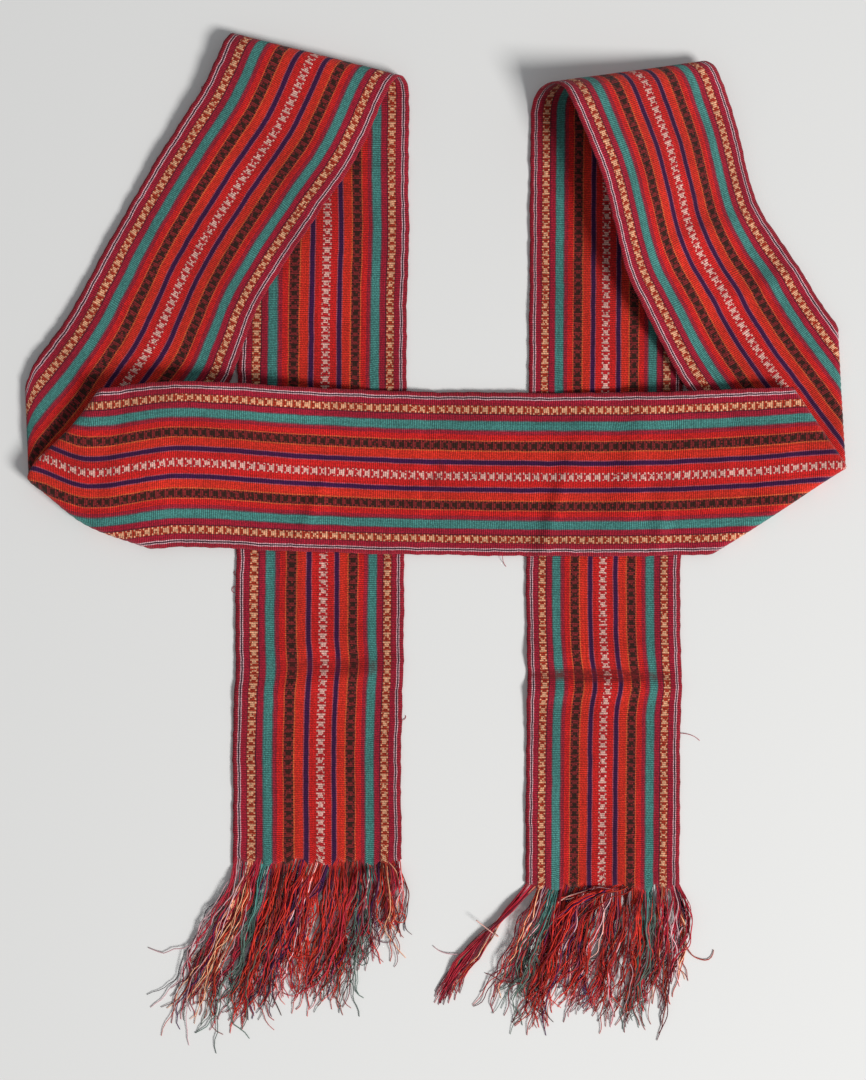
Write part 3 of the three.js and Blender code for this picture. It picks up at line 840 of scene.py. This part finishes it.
class Graph:
    """A material's node tree, with short calls for the nodes used here."""

    def __init__(self, name):
        self.material = bpy.data.materials.new(name)
        self.material.use_nodes = True
        self.tree = self.material.node_tree
        self.shader = self.tree.nodes["Principled BSDF"]

    def put(self, value, socket):
        if isinstance(value, bpy.types.NodeSocket):
            self.tree.links.new(value, socket)
        else:
            socket.default_value = value

    def put_colour(self, value, socket):
        is_socket = isinstance(value, bpy.types.NodeSocket)
        self.put(value if is_socket else (*value, 1), socket)

    def node(self, kind, **settings):
        made = self.tree.nodes.new(kind)
        for name, value in settings.items():
            setattr(made, name, value)
        return made

    def math(self, operation, *values):
        made = self.node("ShaderNodeMath", operation=operation)
        for value, socket in zip(values, made.inputs):
            self.put(value, socket)
        return made.outputs[0]

    def times(self, first, second):
        return self.math("MULTIPLY", first, second)

    def vector(self, x, y):
        made = self.node("ShaderNodeCombineXYZ")
        self.put(x, made.inputs[0])
        self.put(y, made.inputs[1])
        return made.outputs[0]

    def noise(self, along, across, kind):
        """Smooth noise, about 0.5, as fine along and across as its kind says."""
        made = self.node("ShaderNodeTexNoise", noise_dimensions="2D")
        x = self.times(along, kind.per_along)
        y = self.times(across, kind.per_across)
        self.put(self.vector(x, y), made.inputs["Vector"])
        made.inputs["Scale"].default_value = 1.0
        made.inputs["Detail"].default_value = kind.detail
        return made.outputs["Fac"]

    def random(self, x, y):
        """A number from 0 to 1 for each whole x and y."""
        made = self.node("ShaderNodeTexWhiteNoise", noise_dimensions="2D")
        self.put(self.vector(x, y), made.inputs["Vector"])
        return made.outputs["Value"]

    def humps(self, value):
        """A hump from each whole number to the next, from 0 up to 1 and back."""
        return self.math("SINE", self.times(self.math("FRACT", value), math.pi))

    def scaled(self, value, low, high, new_low, new_high, smooth=False):
        kind = "SMOOTHSTEP" if smooth else "LINEAR"
        made = self.node("ShaderNodeMapRange", interpolation_type=kind)
        for number, socket in zip((value, low, high, new_low, new_high), made.inputs):
            self.put(number, socket)
        return made.outputs[0]

    def mix(self, share, first, second, blend="MIX"):
        made = self.node("ShaderNodeMix", data_type="RGBA", blend_type=blend)
        self.put(share, made.inputs[0])
        self.put_colour(first, made.inputs[MIX_FIRST_COLOUR])
        self.put_colour(second, made.inputs[MIX_SECOND_COLOUR])
        return made.outputs[MIX_COLOUR_RESULT]

    def ramp(self, value, stops):
        """Steps of colour: each stop is a place from 0 to 1 and the colour from there on."""
        made = self.node("ShaderNodeValToRGB")
        made.color_ramp.interpolation = "CONSTANT"
        elements = made.color_ramp.elements
        elements.remove(elements[1])
        for number, (place, colour) in enumerate(stops):
            element = elements[0] if number == 0 else elements.new(place)
            element.position = place
            element.color = (*colour, 1)
        self.put(value, made.inputs[0])
        return made.outputs[0]

    def shade(self, colour, amount):
        """A colour times a number."""
        grey = self.node("ShaderNodeCombineColor")
        for socket in grey.inputs:
            self.put(amount, socket)
        return self.mix(1.0, colour, grey.outputs[0], blend="MULTIPLY")

    def bump(self, height, size):
        """Lets a height tilt the shading of the surface."""
        made = self.node("ShaderNodeBump")
        made.inputs["Strength"].default_value = size.strength
        made.inputs["Distance"].default_value = size.distance * MM
        self.put(height, made.inputs["Height"])
        self.put(made.outputs[0], self.shader.inputs["Normal"])

    def finish(self, values):
        """Sets plain values of the shader by their names."""
        for name, value in values.items():
            self.shader.inputs[name].default_value = value


def stripe_middle(name):
    """The distance from the middle stripe to a stripe's own middle, and its half width."""
    from_edge = 0
    for stripe in STRIPES:
        if stripe.colour == name:
            break
        from_edge += stripe.width
    if stripe is STRIPES[-1]:
        return 0, stripe.width
    return HALF_WIDTH - from_edge - stripe.width / 2, stripe.width / 2


def stripe_stops():
    """Colour steps from the middle stripe to the edge."""
    stops = []
    place = 0
    for stripe in reversed(STRIPES):
        stops.append((place / HALF_WIDTH, linear(stripe.colour)))
        place += stripe.width
    return stops


def star_mask(graph, woven, from_middle, row):
    """1 on the stars of one row and 0 off them."""
    middle, half = stripe_middle(row.stripe)
    from_row = graph.math("DIVIDE", graph.math("SUBTRACT", from_middle, middle), half)
    off = graph.math("ABSOLUTE", from_row)
    turn = graph.math("ADD", graph.math("DIVIDE", woven.along, PICK * len(STAR)), row.shift)
    phase = graph.math("FRACT", turn)
    total = 0.0
    edges = zip(STAR_COLUMN_EDGES, STAR_COLUMN_EDGES[1:])
    for column, (low, high) in enumerate(edges):
        stops = [(i / len(STAR), (float(pick[column]),) * 3) for i, pick in enumerate(STAR)]
        past_low = graph.math("GREATER_THAN", off, low)
        before_high = graph.math("LESS_THAN", off, high)
        inside = graph.times(past_low, before_high)
        total = graph.math("ADD", total, graph.times(inside, graph.ramp(phase, stops)))
    pick = graph.math("FLOOR", graph.math("DIVIDE", woven.along, PICK))
    pair = graph.math("FLOOR", graph.math("DIVIDE", woven.across, 2 * GRAIN))
    taken_up = graph.math("GREATER_THAN", graph.random(pick, pair), DROPPED_FLOATS)
    return graph.times(total, taken_up)


def stain_and_shade_mask(graph, flat, stain_or_shade):
    """The strength of a stain or of painted crease shade, which fades from its middle outwards."""
    off_along = graph.math("SUBTRACT", flat.along, stain_or_shade.along)
    off_across = graph.math("SUBTRACT", flat.across, stain_or_shade.across)
    off_along = graph.math("DIVIDE", off_along, stain_or_shade.half_length)
    off_across = graph.math("DIVIDE", off_across, stain_or_shade.half_width)
    squares = graph.math("MULTIPLY_ADD", off_along, off_along, graph.math("POWER", off_across, 2.0))
    return graph.scaled(squares, 0.0, STAIN_AND_SHADE_END, stain_or_shade.strength, 0.0, smooth=True)


def uv_parts(graph):
    """The two values of the UV map."""
    uv = graph.node("ShaderNodeUVMap", uv_map="weave")
    parts = graph.node("ShaderNodeSeparateXYZ")
    graph.put(uv.outputs[0], parts.inputs[0])
    return parts.outputs[0], parts.outputs[1]


def woven_places(graph, flat):
    """Places in the weave, which runs a little unevenly over the flat cloth."""
    beat = graph.noise(flat.along, flat.across, BEAT_NOISE)
    along = graph.math("MULTIPLY_ADD", beat, BEAT_SHIFT, flat.along)
    wander = graph.noise(flat.along, flat.across, WANDER_NOISE)
    off = graph.math("MULTIPLY_ADD", wander, WANDER_SHIFT, -WANDER_SHIFT / 2)
    return Places(along, graph.math("ADD", flat.across, off))


def stripes_and_stars(graph, woven):
    """The colours of the warp."""
    from_middle = graph.math("ABSOLUTE", woven.across)
    colour = graph.ramp(graph.math("DIVIDE", from_middle, HALF_WIDTH), stripe_stops())
    for row in STAR_ROWS:
        mask = star_mask(graph, woven, from_middle, row)
        colour = graph.mix(mask, colour, linear(row.colour))
    return colour


def dye_tone(graph, flat, woven, thread, pick):
    """How pale the dye is: it differs by thread and pick, in streaks and in soft patches."""
    flecks = graph.scaled(graph.random(thread, pick), 0.0, 1.0, *FLECK_TONES)
    streaks = graph.noise(flat.along, woven.across, STREAK_NOISE)
    clouds = graph.noise(flat.along, flat.across, CLOUD_NOISE)
    tone = graph.times(flecks, graph.scaled(streaks, *NOISE_SPREAD, *STREAK_TONES))
    return graph.times(tone, graph.scaled(clouds, *NOISE_SPREAD, *CLOUD_TONES))


def hatch_tone(graph, flat):
    """The shade of the slanting lines, which show on the tails alone."""
    slant = graph.math("DIVIDE", graph.math("ADD", flat.along, flat.across), HATCH_PITCH)
    wave = graph.math("SINE", graph.times(slant, 2 * math.pi))
    lines = graph.scaled(wave, *HATCH_EDGE, 0.0, 1.0)
    on_tails = graph.scaled(graph.math("ABSOLUTE", flat.along), *HATCH_FROM, 0.0, HATCH_DEPTH)
    return graph.math("SUBTRACT", 1.0, graph.times(lines, on_tails))


def stained_and_shaded(graph, colour, flat):
    """The colour with blotchy stains on it, and blotchy painted shade along two creases."""
    blots = graph.noise(flat.along, flat.across, BLOT_NOISE)
    blots = graph.scaled(blots, *BLOT_SPREAD, *BLOT_STRENGTHS)
    for stain_or_shade in STAINS_AND_CREASE_SHADE:
        mask = graph.times(stain_and_shade_mask(graph, flat, stain_or_shade), blots)
        colour = graph.mix(mask, colour, linear("wine"))
    return colour


def cloth_material():
    """Warp-faced weave: stripes and stars of the warp, ribbed by the weft that it hides."""
    graph = Graph("sash_weave")
    flat = Places(*[graph.times(part, 1 / MM) for part in uv_parts(graph)])
    woven = woven_places(graph, flat)

    # Threads lie half a thread aside on every other pick
    picks = graph.math("DIVIDE", woven.along, PICK)
    pick = graph.math("FLOOR", picks)
    aside = graph.times(graph.math("MODULO", pick, 2.0), 0.5)
    threads = graph.math("ADD", graph.math("DIVIDE", woven.across, GRAIN), aside)
    thread = graph.math("FLOOR", threads)
    rib = graph.humps(picks)
    grain = graph.humps(threads)

    colour = stripes_and_stars(graph, woven)
    colour = graph.shade(colour, dye_tone(graph, flat, woven, thread, pick))
    colour = graph.shade(colour, hatch_tone(graph, flat))
    # Painted shade in the gaps between ribs, where the dark weft also shows
    gap_shade = graph.scaled(rib, 0.0, GAP_SHADE_END, GAP_SHADE_STRENGTH, 0.0, smooth=True)
    colour = graph.mix(gap_shade, colour, graph.mix(1.0, colour, GAP_SHADE_TONE, blend="MULTIPLY"))
    graph.put(stained_and_shaded(graph, colour, flat), graph.shader.inputs["Base Color"])

    grained = graph.math("MULTIPLY_ADD", grain, GRAIN_DEPTH, 1 - GRAIN_DEPTH)
    fuzz = graph.noise(flat.along, flat.across, FUZZ_NOISE)
    height = graph.math("MULTIPLY_ADD", fuzz, FUZZ_HEIGHT, graph.times(rib, grained))
    graph.bump(height, WEAVE_BUMP)
    graph.finish(CLOTH_FINISH)
    return graph.material


def yarn_material():
    """Loose yarn in the colour of the stripe that it comes from, ribbed by its twist."""
    graph = Graph("loose_yarn")
    colour = graph.node("ShaderNodeVertexColor", layer_name="yarn").outputs["Color"]
    length, round_share = uv_parts(graph)
    along = graph.times(length, 1 / MM)
    turn = graph.math("MULTIPLY_ADD", along, TWISTS_PER_MM, round_share)
    wave = graph.math("SINE", graph.times(turn, 2 * math.pi))
    twist = graph.math("ABSOLUTE", wave)
    patches = graph.noise(along, round_share, PATCH_NOISE)
    colour = graph.shade(colour, graph.scaled(patches, *NOISE_SPREAD, *PATCH_TONES))
    # Painted shade in the grooves of the twist
    colour = graph.shade(colour, graph.scaled(twist, 0.0, TWIST_SHADE_END, *TWIST_SHADE_TONES))
    graph.put(colour, graph.shader.inputs["Base Color"])
    graph.bump(twist, TWIST_BUMP)
    graph.finish(YARN_FINISH)
    return graph.material


# The fringes

def yarn_colour(share):
    """The colour of the warp at a place across the cloth. A star row has yarn of two colours."""
    from_edge = (0.5 - abs(share)) * BAND_WIDTH
    for stripe in STRIPES:
        if from_edge <= stripe.width:
            break
        from_edge -= stripe.width
    name = stripe.colour
    for row in STAR_ROWS:
        if row.stripe == name and RANDOM.random() < STAR_YARN_SHARE:
            name = row.colour
    return name


def tubes(lines, radii, colours):
    """Points, faces, UVs and colours of thin tubes along lines of the same number of points."""
    count, steps, _ = lines.shape
    ahead = np.gradient(lines, axis=1)
    ahead /= np.linalg.norm(ahead, axis=-1, keepdims=True)
    sideways = np.cross(ahead, [0, 0, 1])
    sideways /= np.linalg.norm(sideways, axis=-1, keepdims=True) + TINY
    upwards = np.cross(sideways, ahead)
    angles = 2 * np.pi * np.arange(YARN_SIDES) / YARN_SIDES
    cosines = np.cos(angles)[:, None]
    sines = np.sin(angles)[:, None]
    ring = sideways[:, :, None] * cosines + upwards[:, :, None] * sines
    points = lines[:, :, None] + ring * radii[:, :, None, None]
    index = np.arange(count * steps * YARN_SIDES).reshape(count, steps, YARN_SIDES)
    after = np.roll(index, -1, axis=2)
    corners = [index[:, :-1], after[:, :-1], after[:, 1:], index[:, 1:]]
    walls = np.stack(corners, -1).reshape(-1, 4)
    starts = index[:, 0, ::-1]
    ends = index[:, -1]
    faces = [*walls.tolist(), *starts.tolist(), *ends.tolist()]
    steps_taken = np.linalg.norm(np.diff(lines, axis=1, prepend=lines[:, :1]), axis=-1)
    travelled = np.cumsum(steps_taken, axis=1)
    turn = np.broadcast_to(angles / (2 * np.pi), points.shape[:3])
    uv = np.stack([np.broadcast_to(travelled[:, :, None] * MM, points.shape[:3]), turn], -1)
    shades = np.broadcast_to(colours[:, :, None], points.shape[:3] + (3,))
    rgba = np.concatenate([shades, np.ones(shades.shape[:3] + (1,))], -1)
    return points.reshape(-1, 3), faces, uv.reshape(-1, 2), rgba.reshape(-1, 4)


def tail_end(side):
    """Points just inside the cut end of a tail, by their places from its left to its right."""
    places = np.linspace(0, 1, COLUMNS)
    along = np.full((1, COLUMNS), end_of(side) - ROOT_OVERLAP)
    return places, soft_place(along, -side.mirror * (places[None, :] - 0.5), side)[0]


def swinging(swings, travelled):
    """A heading that swings from side to side along a yarn, more and more."""
    heading = np.zeros_like(travelled)
    for swing in swings:
        most = math.radians(swing.degrees) * RANDOM.uniform(*SWING_SPREAD)
        length = RANDOM.uniform(swing.shortest, swing.longest)
        phase = RANDOM.uniform(0, 2 * np.pi)
        heading += most * np.sin(2 * np.pi * travelled / length + phase)
    return heading * np.sqrt(travelled / travelled[-1])


def lock_path(lock, q):
    """The middle line of a lock from its root, and how wide the lock is along it."""
    # A curve from 0 to 0 that reaches the bulge halfway
    bulging = lock.bulge * 4 * q * (1 - q)
    x = lock.sweep * q**SWEEP_POWER + bulging
    below_heading = HEADING_DROP * (1 - 1 / lock.hang) * smoothstep(q, 0, HEADING_END)
    y = -lock.drop * q**lock.hang - below_heading
    if lock.waist < 1:
        width = np.interp(q, PINCHED_PLACES, (1, lock.waist, *PINCHED_WIDTHS_BELOW))
    else:
        width = np.interp(q, LOCK_PLACES, LOCK_WIDTHS)
    return x, y, width


def wisp_flow(lock, in_lock, side, q):
    """The steps and headings of one wisp of a lock."""
    x, y, width = lock_path(lock, q)
    lock_width = (lock.last - lock.first) * side.end_width
    gathered = (in_lock - 0.5) * lock_width * (width - 1)
    longer = WISPS.longest - RANDOM.uniform(0, WISPS.shortening) * lock.loose
    wisp_x = x * longer + gathered + RANDOM.normal(0, WISPS.spread) * lock.loose * q
    wisp_y = y * longer
    step = np.hypot(np.diff(wisp_x), np.diff(wisp_y))
    flow = np.arctan2(np.diff(wisp_y), np.diff(wisp_x))
    return step, flow + lock.loose * swinging(WISP_SWINGS, np.cumsum(step))


def yarn_line(lock, root, step, flow, pile, q):
    """The line of one yarn, which keeps near its wisp and whose tip hangs down or curls."""
    heading = flow + lock.loose * swinging(YARN_SWINGS, np.cumsum(step))
    looped = RANDOM.random() < LOOPED_SHARE
    curl = lock.loose * RANDOM.normal(0, YARNS.loop_curl if looped else YARNS.plain_curl)
    to_the_tip = np.clip((q[1:] - YARNS.tip_from) / (1 - YARNS.tip_from), 0, 1) ** YARNS.tip_power
    heading += (curl + YARNS.tip_fall * (-math.pi / 2 - flow)) * to_the_tip
    run = RANDOM.uniform(*YARNS.lengths) * step
    x = np.concatenate([[0], np.cumsum(run * np.cos(heading))])
    y = np.concatenate([[0], np.cumsum(run * np.sin(heading))])
    heaped = pile * np.sin(np.pi * q**YARNS.heap_power) * smoothstep(q, *YARNS.heap_over)
    own = RANDOM.uniform(0, YARNS.own_rise) * smoothstep(q, *YARNS.own_over) * (1 - q)
    base = mixed(root[2], YARN_RADIUS, smoothstep(q, *YARNS.landing))
    z = np.maximum(base + heaped + own, YARN_RADIUS)
    return np.stack([root[0] + x, root[1] + y, z], -1)


def fringe_object(side, shift):
    """One fringe: yarns that leave the tail's end in locks of small wisps and lie on the floor."""
    lines, colours = [], []
    q = np.linspace(0, 1, YARN_STEPS + 1)
    end_places, end_points = tail_end(side)
    for lock in FRINGE_LOCKS[side.name]:
        for wisp in range(lock.wisps):
            in_lock = (wisp + RANDOM.uniform(*WISPS.places)) / lock.wisps
            step, flow = wisp_flow(lock, in_lock, side, q)
            pile = lock.pile * RANDOM.uniform(*WISPS.piles)
            for _ in range(RANDOM.integers(*YARNS_IN_A_WISP)):
                in_wisp = RANDOM.uniform(-WISPS.reach, WISPS.reach) / lock.wisps
                place = mixed(lock.first, lock.last, in_lock + in_wisp)
                place = np.clip(place, END_MARGIN, 1 - END_MARGIN)
                root = [np.interp(place, end_places, column) for column in end_points.T]
                lines.append(yarn_line(lock, root, step, flow, pile, q))
                colours.append(yarn_tones(-side.mirror * (place - 0.5), q))
    thickness = RANDOM.uniform(*YARNS.thickness, (len(lines), 1))
    radii = YARN_RADIUS * thickness * (1 - YARNS.taper * q**YARNS.taper_power)
    points, faces, uv, rgba = tubes(np.array(lines), radii, np.array(colours))
    return mesh_object(f"fringe_{side.name}_yarns", points * MM + shift, faces, uv=uv, colours=rgba)


def yarn_tones(share, q):
    """The colour along one yarn, darker or paler than its stripe and greyer towards its tip."""
    name = yarn_colour(share)
    if RANDOM.random() < STRAYED_SHARE:
        name = STRAYED_COLOURS[RANDOM.integers(len(STRAYED_COLOURS))]
    name = DEEPER_YARNS.get(name, name)
    tone = np.array(linear(name)) * RANDOM.uniform(*YARN_TONES)
    worn = np.array(linear("worn")) * RANDOM.uniform(*GREY_GREEN_TONES)
    most_greyed = GREYING_SHARES.get(name, GREYING_SHARE)
    fade = np.interp(q, GREYING_OVER, (0, most_greyed))
    return mixed(tone, worn, fade[:, None])


def binding_line(q):
    """A pale thread wound once round the pinched lock, whose free end sticks out over it."""
    across = np.array([math.cos(BINDING.heading), math.sin(BINDING.heading), 0])
    wound = np.clip(q / BINDING.wound_share, 0, 1)
    free = np.clip((q - BINDING.wound_share) / (1 - BINDING.wound_share), 0, 1)
    turn = math.pi / 2 - 2 * math.pi * wound
    out = BINDING.half_width * np.cos(turn) - BINDING.free_end * free
    line = BINDING.middle + out[:, None] * across
    line[:, 2] += BINDING.half_height * np.sin(turn)
    return line


def threads_object(shift):
    """Short loose threads that curl away from the edges of the cloth, and the pale binding."""
    q = np.linspace(0, 1, YARN_STEPS + 1)
    lines, colours = [], []
    for thread in THREADS:
        side = LEFT if thread.along < 0 else RIGHT
        along = np.full((1, 2), abs(thread.along))
        shares = np.array([[thread.share * JUST_INSIDE, thread.share]])
        inside, edge = soft_place(along, shares, side)[0]
        out = math.atan2(edge[1] - inside[1], edge[0] - inside[0])
        heading = out + thread.curl * q**THREAD_CURL_POWER
        step = thread.length / YARN_STEPS
        x = edge[0] + np.cumsum(step * np.cos(heading)) - THREAD_OVERLAP * math.cos(out)
        y = edge[1] + np.cumsum(step * np.sin(heading)) - THREAD_OVERLAP * math.sin(out)
        z = np.maximum(edge[2] * (1 - smoothstep(q, *THREAD_LANDING)), THREAD_RADIUS)
        lines.append(np.stack([x, y, z], -1))
        colours.append(np.tile(linear("magenta"), (len(q), 1)))
    lines.append(binding_line(q))
    colours.append(np.tile(linear("cream"), (len(q), 1)))
    radii = np.full((len(lines), len(q)), THREAD_RADIUS)
    radii[-1] = BINDING.radius
    points, faces, uv, rgba = tubes(np.array(lines), radii, np.array(colours))
    return mesh_object("loose_threads", points * MM + shift, faces, uv=uv, colours=rgba)


# Making floor, light and camera

def floor_object():
    mesh = bpy.data.meshes.new("floor")
    corners = [(x * FLOOR_REACH, y * FLOOR_REACH, 0) for x, y in ((-1, -1), (1, -1), (1, 1), (-1, 1))]
    mesh.from_pydata(corners, [], [(0, 1, 2, 3)])
    made = bpy.data.objects.new("floor", mesh)
    made.location.z = -FLOOR_GAP * MM
    bpy.context.scene.collection.objects.link(made)
    graph = Graph("pale_floor")
    graph.finish(FLOOR_FINISH)
    mesh.materials.append(graph.material)
    return made


def key_light():
    light = bpy.data.lights.new("key", "AREA")
    light.shape = "DISK"
    light.size = KEY_SIZE
    light.energy = KEY_POWER
    light.color = KEY_COLOUR
    made = bpy.data.objects.new("key", light)
    away = np.array(KEY_DIRECTION) / np.linalg.norm(KEY_DIRECTION)
    made.location = away * KEY_DISTANCE
    made.rotation_euler = (-made.location).to_track_quat("-Z", "Y").to_euler()
    bpy.context.scene.collection.objects.link(made)


def light_the_scene():
    key_light()
    world = bpy.data.worlds.new("studio")
    world.use_nodes = True
    background = world.node_tree.nodes["Background"]
    background.inputs["Color"].default_value = SKY_COLOUR
    background.inputs["Strength"].default_value = SKY_STRENGTH
    bpy.context.scene.world = world
    bpy.context.scene.view_settings.view_transform = "Standard"


def camera_above(shift):
    data = bpy.data.cameras.new("camera")
    data.lens = data.sensor_width * CAMERA_HEIGHT / (max(PHOTO_SIZE) * MM_PER_PIXEL)
    made = bpy.data.objects.new("camera", data)
    made.location = (shift[0], shift[1], CAMERA_HEIGHT * MM)
    bpy.context.scene.collection.objects.link(made)
    bpy.context.scene.camera = made


def frame_shift():
    """From the layout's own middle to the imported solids, so that the cloth lies on its solid."""
    low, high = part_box("sash")
    share = np.linspace(-0.5, 0.5, OUTLINE_COLUMNS)[None, :]
    halves = [soft_place(rows_along(side)[:, None], share, side) for side in (LEFT, RIGHT)]
    places = np.concatenate([half.reshape(-1, 3) for half in halves])[:, :2]
    middle = (places.min(axis=0) + places.max(axis=0)) / 2 * MM
    return np.array([(low.x + high.x) / 2 - middle[0], (low.y + high.y) / 2 - middle[1], 0])


def main():
    shift = frame_shift()
    floor = floor_object()
    light_the_scene()
    camera_above(shift)

    yarn = yarn_material()
    for side in (LEFT, RIGHT):
        fringe = fringe_object(side, shift)
        fringe.data.materials.append(yarn)
        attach(fringe, "root")
        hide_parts(f"fringe_{side.name}")

    threads = threads_object(shift)
    threads.data.materials.append(yarn)
    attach(threads, "root")

    sash = sash_object(shift)
    sash.data.materials.append(cloth_material())
    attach(sash, "root")
    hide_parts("sash")


main()
